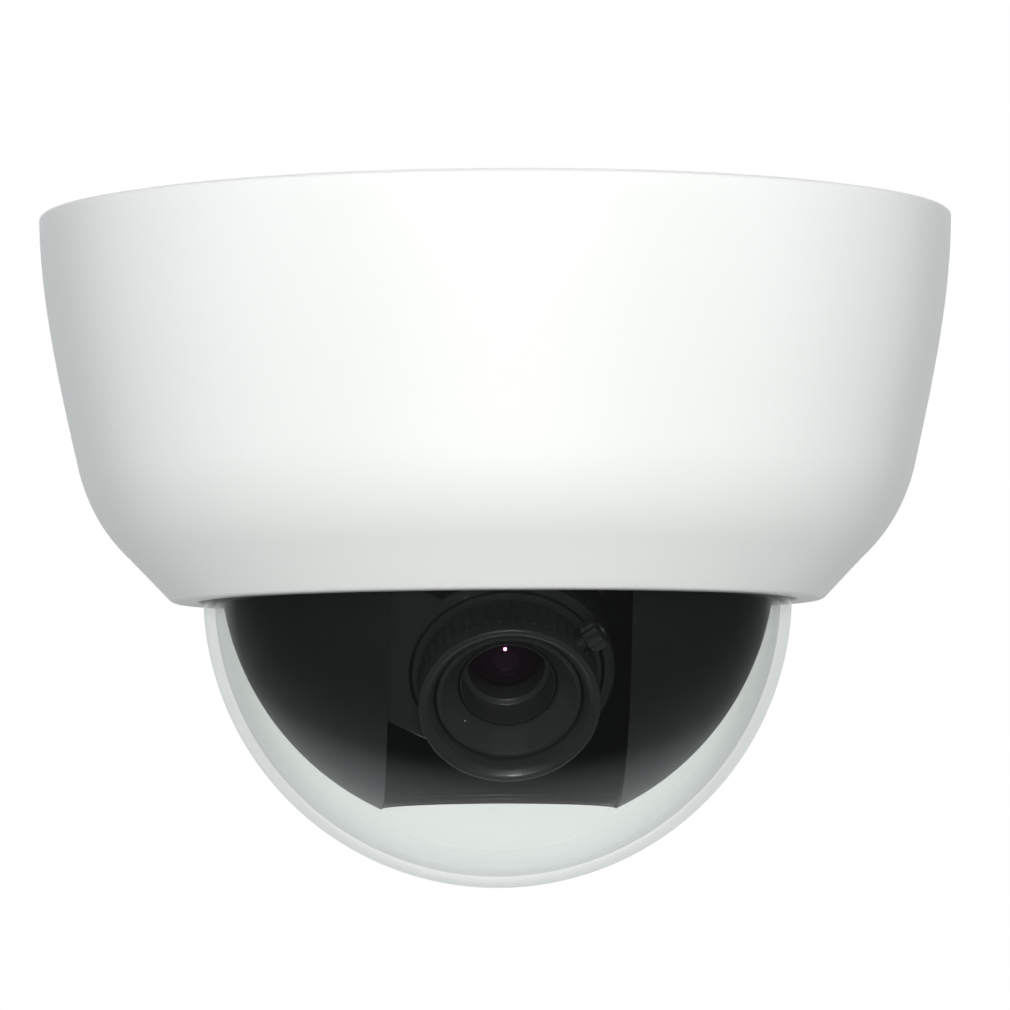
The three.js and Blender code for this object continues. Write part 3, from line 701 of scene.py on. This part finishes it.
def make_housing():
    unit = "camera_unit"
    web = 4.9
    drum = turned([
        (15.9, -19, 0.2), (17.5, -19, 0.4), (17.5, -4.8), (19, -4.8, 0.3), (19, web),
        (21.4, web, 0.3), (21.4, 6.9, 0.5), (13, 6.9, 0.3), (13, web - 0.4), (15.9, web - 0.4),
    ], 144, 4)
    columns = [rod(x, y, 2, -6.2, web, 24) for x, y in PILLARS]
    windows = [moved(block((14, 19), (-5, 5), (-16, -12), 0.8, 3), spun(a)) for a in (90, 270)]
    notches = [moved(block((20.6, 24), (-1.2, 1.2), (0, 10), 0.3), spun(a)) for a in range(15, 375, 30)]
    wells = [rod(x, y, 1, 5.6, 10, 24) for x, y in FLANGE_SCREWS]
    housing = carved(drum, add=columns, cut=[rod(0, 0, 13, 0, 10, 96), *windows, *notches, *wells])
    piece("camera_drum", moved(housing, LENS), BLACK, unit, ("camera_housing",))
    clip = turned([(17.8, -6.6, 0.3), (21, -6.6, 0.4), (21, -5.1, 0.4), (17.8, -5.1, 0.3)], 96, 3)
    piece("clip_ring", moved(clip, LENS), DARK, unit, ("housing_clip_ring",))
    cap = carved(turned([(0, -19), (15.6, -19, 0.3), (15.6, -17.6, 0.2), (0, -17.6)], 96, 3), cut=[
        block((-7, 5), (-11, -7), (-30, 0), 0.5), rod(6, 6, 2.4, -30, 0, 32)])
    piece("drum_cap", moved(cap, LENS), DARK, unit, ("rear_cap",))
    for i, (x, y) in enumerate(FLANGE_SCREWS):
        screw_at(f"flange_fixing_{i + 1}", f"flange_screw_{i + 1}",
                 LENS @ at(x, y, 6.9) @ spun(25 + 30 * i), (1.6, 1.1, 0.75, 1), unit)


def chip(x, y, z, wide, deep, tall):
    """A moulded chip's body, hanging under a board face at z."""
    return block((x - wide / 2, x + wide / 2), (y - deep / 2, y + deep / 2), (z - tall, z - 0.1), 0.12)


def legs(x, y, z, wide, deep, pins):
    """The pins along two opposite sides of a chip."""
    parts = []
    for k in range(pins):
        px = x - wide / 2 + wide * (k + 0.5) / pins
        for side in (-1, 1):
            reach = sorted((y + side * deep / 2, y + side * (deep / 2 + 0.7)))
            parts.append(block((px - 0.16, px + 0.16), reach, (z - 0.3, z - 0.02), 0.04))
    return parts


def make_boards():
    unit = "camera_unit"
    for name, node, face in (("sensor_panel", "sensor_board", -6.5),
                             ("processor_panel", "processor_board", -12.8)):
        disc = turned([(0, face - 1.6), (14.8, face - 1.6, 0.1), (14.8, face, 0.1), (0, face)], 96, 2)
        piece(name, moved(disc, LENS), BOARD, unit, (node,))
    low = -6.2
    sensor = merged(block((-5.5, 5.5), (-5, 5), (low, low + 1.5), 0.15),
                    block((-4.4, 4.4), (-3.9, 3.9), (low + 1.5, low + 2), 0.1))
    piece("sensor_chip", moved(sensor, LENS), CHIP, unit, ("image_sensor",))
    for i, (x, y) in enumerate(PILLARS):
        post = turned([(0, -12.5), (1.8, -12.5, 0.2), (1.8, -8.4, 0.2), (0, -8.4)], 6, 1)
        piece(f"spacer_{i + 1}", moved(post, LENS @ at(x, y)), BRASS, unit,
              (f"board_spacer_{i + 1}",))
    face = -14.4
    switch = carved(block((3, 9), (3, 9), (face - 2.6, face - 0.3), 0.2),
                    cut=[rod(6, 6, 1.1, face - 4, face - 0.8, 24)])
    piece("menu_switch_body", moved(switch, LENS), CHIP, unit, ("menu_switch",))
    key = carved(rod(6, 6, 1.5, face - 5.2, face - 3.3, 32, 0.2),
                 add=[rod(6, 6, 0.8, face - 4, face - 1.5, 24)])
    piece("menu_key_cap", moved(key, LENS), IVORY, "menu_key", ("menu_button",))
    bodies = merged(chip(-4.5, 2.5, face, 7, 7, 1.0), chip(3.5, -6.8, face, 4, 3, 0.9),
                    chip(-4.8, -7.2, face, 3.4, 2.2, 0.8))
    piece("processor_chips", moved(bodies, LENS), CHIP, unit)
    pins = merged(*legs(-4.5, 2.5, face, 7, 7, 10), *legs(3.5, -6.8, face, 4, 3, 4))
    piece("processor_pins", moved(pins, LENS), STEEL, unit)


# ------------------------------------------------------------------ tilt and pan unit

def make_tilt_ring():
    ring = turned([(19.4, -4.5, 0.3), (22.4, -4.5, 0.5), (22.4, 4.5, 0.5), (19.4, 4.5, 0.3)], 144, 3)
    bosses = [moved(turned([(0, 0), (4, 0), (4, 2.3, 0.3), (0, 2.3)], 48, 3), spun(a, "Y") @ at(0, 0, 21))
              for a in (90, -90)]
    pivots = [moved(rod(0, 0, 1.7, 15, 30, 24), spun(a, "Y")) for a in (90, -90)]
    ring = carved(ring, add=bosses, cut=[rod(0, 0, 19.4, -10, 10, 144), *pivots])
    piece("tilt_hoop", moved(ring, LENS), BLACK, "tilt_unit", ("tilt_ring",))
    for side, angle in (("left", -90), ("right", 90)):
        sign = -1 if side == "left" else 1
        knob = moved(thumb_screw(1.4, 6.8, 5, 4, 22), at(sign * 20.2, 0, TILT_AT.z) @ spun(angle, "Y"))
        piece(f"tilt_lock_{side}_knob", knob, DARK, f"tilt_lock_{side}",
              (f"tilt_knob_{side}",))


def make_arms():
    top = -22.8
    outline = [
        (-10, top), (10, top), (10, top - 3), (7.5, top - 14), *arc(0, TILT_AT.z, 7.5, 0, -180, 32),
        (-7.5, top - 14), (-10, top - 3),
    ]
    to_plate = Matrix(((0, 0, 1, 0), (1, 0, 0, 0), (0, 1, 0, 0), (0, 0, 0, 1)))
    for side, turn in (("right", 0), ("left", 180)):
        plate = moved(bevelled(prism(outline, 23.6, 26.6), 0.35, 40), to_plate)
        foot = block((23.7, 34.5), (-10, 10), (top - 2.5, top), 0.3)
        ledge = block((24.6, 37.4), (-5, 5), (-40, -38), 0.3)
        web = moved(prism([(26.1, -39.5), (26.1, -44), (34.4, -39.5)], -1, 1), spun(90, "X"))
        brace = moved(prism([(26.1, top - 2.2), (26.1, top - 9), (32.5, top - 2.2)], -0.9, 0.9),
                      spun(90, "X"))
        holes = [rod(30, end * 6.2, 1.5, -30, 0, 24) for end in (-1, 1)]
        pivot = moved(rod(0, 0, 1.9, 20, 30, 32), at(0, 0, TILT_AT.z) @ spun(90, "Y"))
        arm = carved(plate, add=[foot, ledge, web, brace], cut=[*holes, pivot])
        piece(f"arm_{side}", moved(arm, spun(turn)), BLACK, "pan_unit",
              (f"tilt_arm_{side}",))
        sign = 1 if side == "right" else -1
        screw_at(f"arm_fixing_{side}", f"arm_screw_{side}",
                 at(sign * 30, -6.2, top - 2.5) @ spun(180, "X") @ spun(35), (2.2, 1.4, 1, 6), "pan_unit")


def make_turntable():
    plate = turned([
        (11, -20.1, 0.2), (34.2, -20.1, 0.2), (34.2, -18, 0.3), (40.2, -18, 0.3),
        (40.2, -20.4, 0.2), (36.2, -20.4), (36.2, -22.5, 0.3), (11, -22.5, 0.3),
    ], 176, 3)
    holes = [rod(a * 30, b * 6.2, 1.3, -30, 0, 24) for a in (-1, 1) for b in (-1, 1)]
    holes.append(rod(0, 29, 1.65, -30, 0, 24))
    lightening = [moved(block((16, 21), (-3.2, 3.2), (-30, -21.9), 0.8, 3), spun(a))
                  for a in (40, 140, 220, 320)]
    piece("pan_disc", carved(plate, cut=holes + lightening), BLACK, "pan_unit",
          ("turntable",))
    lock = moved(thumb_screw(1.3, 4.4, 3.6, 3.6, 18), at(0, 29, -18.4) @ spun(180, "X"))
    piece("pan_lock_thumbscrew", lock, DARK, "pan_lock", ("pan_lock_screw",))


# ------------------------------------------------------------------ base

POST_ANGLES = (45, 165, 285)
POST_CIRCLE = 48.5
SLOT_ANGLES = (0, 90, 180, 270)
SNAP_ANGLES = (30, 150, 270)
STANDS = ((22, -18), (-22, -18), (0, 24))


def slot_shape(width, length, circle, low, high):
    """A round-ended slot across a radius, centred on a circle."""
    end = (length - width) / 2
    points = arc(circle, end, width / 2, 0, 180, 16) + arc(circle, -end, width / 2, 180, 360, 16)
    return prism(points, low, high)


def make_base():
    tray = turned([
        (0, 0), (62, 0, 0.5), (62, -3, 0.4), (60.4, -3), (60.4, -14, 0.6), (58.4, -14, 0.5),
        (58.4, -3), (0, -3),
    ], 208, 4)
    pads = [moved(block((46, 56), (-9, 9), (-4, -1), 0.6), spun(a)) for a in SLOT_ANGLES]
    posts = [rod(*polar(POST_CIRCLE, a), 3.6, -17, -1, 48, 0.3) for a in POST_ANGLES]
    stands = [rod(x, y, 2.6, -6.5, -1, 32) for x, y in STANDS]
    ribs = [moved(block((37, 59.4), (-0.8, 0.8), (-7, -1), 0.2), spun(a))
            for a in (20, 112, 140, 200, 245, 320)]
    beads = [moved(block((59.4, 60.8), (-5, 5), (-12, -10), 0.35), spun(a)) for a in SNAP_ANGLES]
    cuts = [moved(slot_shape(4.8, 10.4, 51.5, -9, 1), spun(a)) for a in SLOT_ANGLES]
    cuts += [rod(*polar(POST_CIRCLE, a), 1.3, -18, -9, 24) for a in POST_ANGLES]
    cuts += [rod(x, y, 1.2, -7.5, -3.5, 24) for x, y in STANDS]
    cuts += [moved(block((57.4, 62.4), (s - 0.6, s + 0.6), (-15, -4.5)), spun(a))
             for a in SNAP_ANGLES for s in (-7, 7)]
    x, y = polar(44, 64)
    cuts += [rod(x, y, 8, -9, 1, 64), rod(x, y, 10.3, -1.3, 1, 64)]
    base = carved(tray, add=pads + posts + stands + ribs + beads, cut=cuts)
    piece("base_plate", base, WHITE, "base", ("mounting_base", "snap_collar"))
    grommet = turned([
        (5, -0.1, 0.3), (10, -0.1, 0.4), (10, -1.1), (7.7, -1.1), (7.7, -3.3), (10, -3.3, 0.2),
        (10, -4.8, 0.6), (5, -4.8, 0.3),
    ], 80, 4)
    piece("inlet_grommet", moved(grommet, at(x, y)), RUBBER, "base", ("cable_grommet",))


UNDER_BOARD = -8.1


def make_main_board():
    outline = [(29, 17), (17, 29), (-17, 29), (-29, 17), (-29, -17), (-17, -29), (17, -29), (29, -17)]
    board = carved(bevelled(prism(outline, UNDER_BOARD, -6.5), 0.12),
                   cut=[rod(x, y, 1.5, -9, -5, 24) for x, y in STANDS])
    piece("main_panel", board, BOARD, "base", ("main_board",))
    for i, (x, y) in enumerate(STANDS):
        screw_at(f"board_fixing_{i + 1}", f"board_screw_{i + 1}",
                 at(x, y, UNDER_BOARD) @ spun(180, "X") @ spun(15 + 40 * i), (2.3, 1.4, 1, 4), "base")


def make_connectors():
    """Terminal block, video socket and wire header; each is built hanging from z = 0."""
    place = at(-12, 23, UNDER_BOARD)
    wells = []
    for s in (-2.6, 2.6):
        wells += [block((s - 1.7, s + 1.7), (1, 6), (-6, -2), 0.15), rod(s, -1, 1.7, -9, -4, 32)]
    block_body = carved(block((-5.1, 5.1), (-4, 4), (-8, 0), 0.3), cut=wells)
    piece("terminal_body", moved(block_body, place), BLUE, "base", ("terminal_block",))
    heads = merged(*[moved(carved(rod(s, -1, 1.55, -6.2, -4.05, 28, 0.1),
                                  cut=[block((s - 2, s + 2), (-1.25, -0.75), (-7, -5.7))]), place)
                     for s in (-2.6, 2.6)])
    piece("terminal_screws", heads, STEEL, "base")
    place = at(13, 21, UNDER_BOARD)
    socket = carved(
        turned([(0, -8), (2.7, -8, 0.2), (2.7, -2), (0, -2)], 64, 3),
        add=[block((-3.2, 3.2), (-3.2, 3.2), (-2.5, 0), 0.3)], cut=[rod(0, 0, 1.9, -9, -3, 48)])
    piece("video_connector", moved(socket, place), BRASS, "base", ("video_socket",))
    piece("video_pin", moved(rod(0, 0, 0.45, -7.2, -2.9, 20, 0.15), place), BRASS, "base")
    place = at(0, -23, UNDER_BOARD)
    header = carved(block((-8, 8), (-2.8, 2.8), (-6, 0), 0.25), cut=[
        block((-7.2, 7.2), (-2, 2), (-7, -1.5), 0.2), block((-4, 4), (-4, -1), (-7, -3.5))])
    piece("wire_header", moved(header, place), IVORY, "base", ("harness_header",))
    pins = [block((x - 0.32, x + 0.32), (-0.32, 0.32), (-5.4, -1.3), 0.1) for x in (-5, -2.5, 0, 2.5, 5)]
    piece("header_pins", moved(merged(*pins), place), BRASS, "base")


def make_capacitors():
    x = -20
    for name, node, r, tall, y in (("capacitor_a", "capacitor_large", 4.0, 8.2, 3),
                                   ("capacitor_b", "capacitor_small", 3.1, 7.0, -7)):
        can = turned([
            (0, -tall + 0.25), (r * 0.78, -tall + 0.25, 0.1), (r * 0.82, -tall, 0.15),
            (r, -tall, 0.5), (r, -1.9, 0.3), (r * 0.9, -1.4, 0.3), (r, -0.9, 0.3), (r, 0), (0, 0),
        ], 72, 4)
        vent = [moved(block((-r * 0.7, r * 0.7), (-0.12, 0.12), (-tall - 1, -tall + 0.35)), spun(a))
                for a in (0, 90)]
        sleeve_material = sleeve(f"{name}_sleeve", (0.012, 0.02, 0.05), (x + r * 0.72) * MM,
                                 (UNDER_BOARD - tall + 0.3) * MM)
        piece(name, moved(carved(can, cut=vent), at(x, y, UNDER_BOARD)), sleeve_material, "base",
              (node,))


def make_main_chips():
    under = UNDER_BOARD
    coil = carved(block((-5, 5), (-5, 5), (-1.6, 0), 0.25), add=[
        turned([(0, -5), (4.6, -5), (4.6, -1, 0), (0, -1)], 48),
        block((-5, 5), (-5, 5), (-5.6, -4.2), 0.4)])
    piece("inductor", moved(coil, at(19, 3, under)), CHIP, "base", ("power_inductor",))
    bodies = merged(chip(1, 4, under, 12, 8, 1.6), chip(8, -9, under, 6, 5, 1.3),
                    chip(-9, -10, under, 5, 4, 1.2), chip(-2, 15, under, 5, 4, 1.2),
                    *[chip(-4 + 2.2 * k, -15, under, 1.2, 2.0, 0.6) for k in range(6)],
                    *[chip(-9 + 2.4 * k, 10.5, under, 1.0, 1.8, 0.6) for k in range(5)])
    piece("main_chips", bodies, CHIP, "base")
    pins = merged(*legs(1, 4, under, 12, 8, 14), *legs(8, -9, under, 6, 5, 5),
                  *legs(-9, -10, under, 5, 4, 4), *legs(-2, 15, under, 5, 4, 4))
    piece("main_pins", pins, STEEL, "base")


def make_pan_ring():
    track = turned([
        (36.5, -20.7, 0.2), (36.5, -23, 0.3), (45, -23, 0.4), (45, -17, 0.4), (40.7, -17, 0.3),
        (40.7, -20.7),
    ], 192, 3)
    points = [(43, -4), *arc(POST_CIRCLE, 0, 4, -90, 90, 20), (43, 4)]
    ears = [moved(bevelled(prism(points, -19.5, -17.1), 0.25), spun(a)) for a in POST_ANGLES]
    holes = [rod(*polar(POST_CIRCLE, a), 1.6, -30, 0, 24) for a in POST_ANGLES]
    piece("pan_track", carved(track, add=ears, cut=holes), BLACK, "base", ("pan_ring",))
    for i, a in enumerate(POST_ANGLES):
        x, y = polar(POST_CIRCLE, a)
        screw_at(f"track_fixing_{i + 1}", f"pan_ring_screw_{i + 1}",
                 at(x, y, -19.5) @ spun(180, "X") @ spun(50 * i), (2.8, 1.7, 1.1, 9), "base")


# ------------------------------------------------------------------ camera, lights and floor

def look(obj, target, roll=0.0):
    forward = (Vector(target) - obj.location).normalized()
    turn = forward.to_track_quat("-Z", "Y").to_matrix().to_4x4()
    turn = turn @ Matrix.Rotation(math.radians(roll), 4, "Z")
    obj.rotation_mode = "QUATERNION"
    obj.rotation_quaternion = turn.to_quaternion()


def area_light(name, place, target, size, power, colour=(1, 1, 1), shines=False):
    data = bpy.data.lights.new(name, "AREA")
    data.shape = "RECTANGLE"
    data.size, data.size_y = size
    data.energy = power
    data.color = colour
    obj = bpy.data.objects.new(name, data)
    bpy.context.scene.collection.objects.link(obj)
    obj.location = place
    obj.visible_glossy = shines
    look(obj, target)
    return obj


def make_camera():
    """A long lens level with the bubble, a little to the left and looking slightly up."""
    distance, height, aim_height = 0.867, -0.0876, -0.0416
    aside, roll = 0.00114, -0.37
    data = bpy.data.cameras.new("view")
    data.lens = 217
    data.sensor_width = 36
    data.clip_start, data.clip_end = 0.05, 60
    obj = bpy.data.objects.new("view", data)
    bpy.context.scene.collection.objects.link(obj)
    side = math.radians(-3)
    obj.location = (distance * math.sin(side), -distance * math.cos(side), height)
    look(obj, (aside * math.cos(side), aside * math.sin(side), aim_height), roll)
    bpy.context.scene.camera = obj
    bpy.context.scene.view_settings.view_transform = "Standard"


def make_world():
    """White to the camera, bright zones to mirror-like reflections and dim to everything else."""
    dimmest, elsewhere = 0.05, 0.12
    world = bpy.data.worlds.new("studio")
    bpy.context.scene.world = world
    world.use_nodes = True
    tree = world.node_tree
    tree.nodes.clear()
    new = tree.nodes.new
    out, path = new("ShaderNodeOutputWorld"), new("ShaderNodeLightPath")
    brighter, place = new("ShaderNodeMath"), new("ShaderNodeTexCoord")
    brighter.operation = "MAXIMUM"
    # each zone: its direction, where along it the light starts and is full, and how bright it gets
    zones = (((0, 1, 0), 0.72, 0.95, 0.68), ((0, 1.5, -1.9), 1.42, 2.32, 0.95))
    for i, (direction, start, end, full) in enumerate(zones):
        along, fade = new("ShaderNodeVectorMath"), new("ShaderNodeMapRange")
        along.operation = "DOT_PRODUCT"
        along.inputs[1].default_value = direction
        tree.links.new(place.outputs["Generated"], along.inputs[0])
        tree.links.new(along.outputs["Value"], fade.inputs["Value"])
        for key, number in (("From Min", start), ("From Max", end), ("To Min", dimmest), ("To Max", full)):
            fade.inputs[key].default_value = number
        tree.links.new(fade.outputs[0], brighter.inputs[i])
    lit, seen, mix = new("ShaderNodeBackground"), new("ShaderNodeBackground"), new("ShaderNodeMixShader")
    lit.inputs[0].default_value = (0.95, 0.98, 1.0, 1)
    by_ray = new("ShaderNodeMix")
    by_ray.inputs[2].default_value = elsewhere
    tree.links.new(path.outputs["Is Glossy Ray"], by_ray.inputs[0])
    tree.links.new(brighter.outputs[0], by_ray.inputs[3])
    tree.links.new(by_ray.outputs[0], lit.inputs[1])
    seen.inputs[0].default_value = (1, 1, 1, 1)
    tree.links.new(path.outputs["Is Camera Ray"], mix.inputs[0])
    tree.links.new(lit.outputs[0], mix.inputs[1])
    tree.links.new(seen.outputs[0], mix.inputs[2])
    tree.links.new(mix.outputs[0], out.inputs[0])


def make_floor():
    """A pale floor well below, which takes no part in reflections or bounced light."""
    bm = bmesh.new()
    bmesh.ops.create_grid(bm, x_segments=8, y_segments=8, size=4)
    data = bpy.data.meshes.new("floor")
    bm.to_mesh(data)
    bm.free()
    floor = bpy.data.objects.new("floor", data)
    floor.location = (0, 0, -1.3)
    floor.visible_glossy = False
    floor.visible_diffuse = False
    bpy.context.scene.collection.objects.link(floor)
    m = Nodes("floor")
    shade = m.blend(m.noise(3.0, 3.0), rgb(0.86, 0.87, 0.86), rgb(0.84, 0.85, 0.84))
    shader = m.add("ShaderNodeBsdfPrincipled", **{
        "Base Color": shade, "Roughness": 0.7, "Emission Color": shade, "Emission Strength": 0.6,
    })
    data.materials.append(m.surface(shader))


def make_lights():
    """Soft boxes all round, and a small flash that lights only the lens and the liner."""
    aim = (0, 0, -0.045)
    area_light("key", (-0.05, -1.6, 0.35), aim, (1.3, 0.9), 15.5)
    area_light("low", (0.0, -1.4, -0.75), aim, (1.4, 0.7), 8.5, (0.98, 1.0, 0.94))
    area_light("left", (-1.5, -0.7, 0.0), aim, (0.8, 1.2), 8.5, (0.96, 0.99, 1.0))
    area_light("right", (1.5, -0.7, 0.0), aim, (0.8, 1.2), 8.5, (0.96, 0.99, 1.0))
    area_light("back", (0.2, 1.6, 0.3), aim, (1.3, 0.9), 17.0)
    area_light("top", (0.0, 0.4, 2.6), (0, 0.3, -1.3), (3.5, 3.5), 45.0)
    flash = area_light("flash", (-0.03, -0.95, -0.09), aim, (0.16, 0.12), 4.0, shines=True)
    lit_pieces = bpy.data.collections.new("lit_by_flash")
    flash.light_linking.receiver_collection = lit_pieces
    for name in ("front_glass", "lens_bezel", "lens_tube", "focus_grip", "focus_lock", "iris_casing",
                 "liner_shell"):
        lit_pieces.objects.link(bpy.data.objects[name])


make_camera()
make_cover()
make_bubble()
make_retainer()
make_liner()
make_lens()
make_housing()
make_boards()
make_tilt_ring()
make_arms()
make_turntable()
make_base()
make_main_board()
make_connectors()
make_capacitors()
make_main_chips()
make_pan_ring()
make_world()
make_floor()
make_lights()
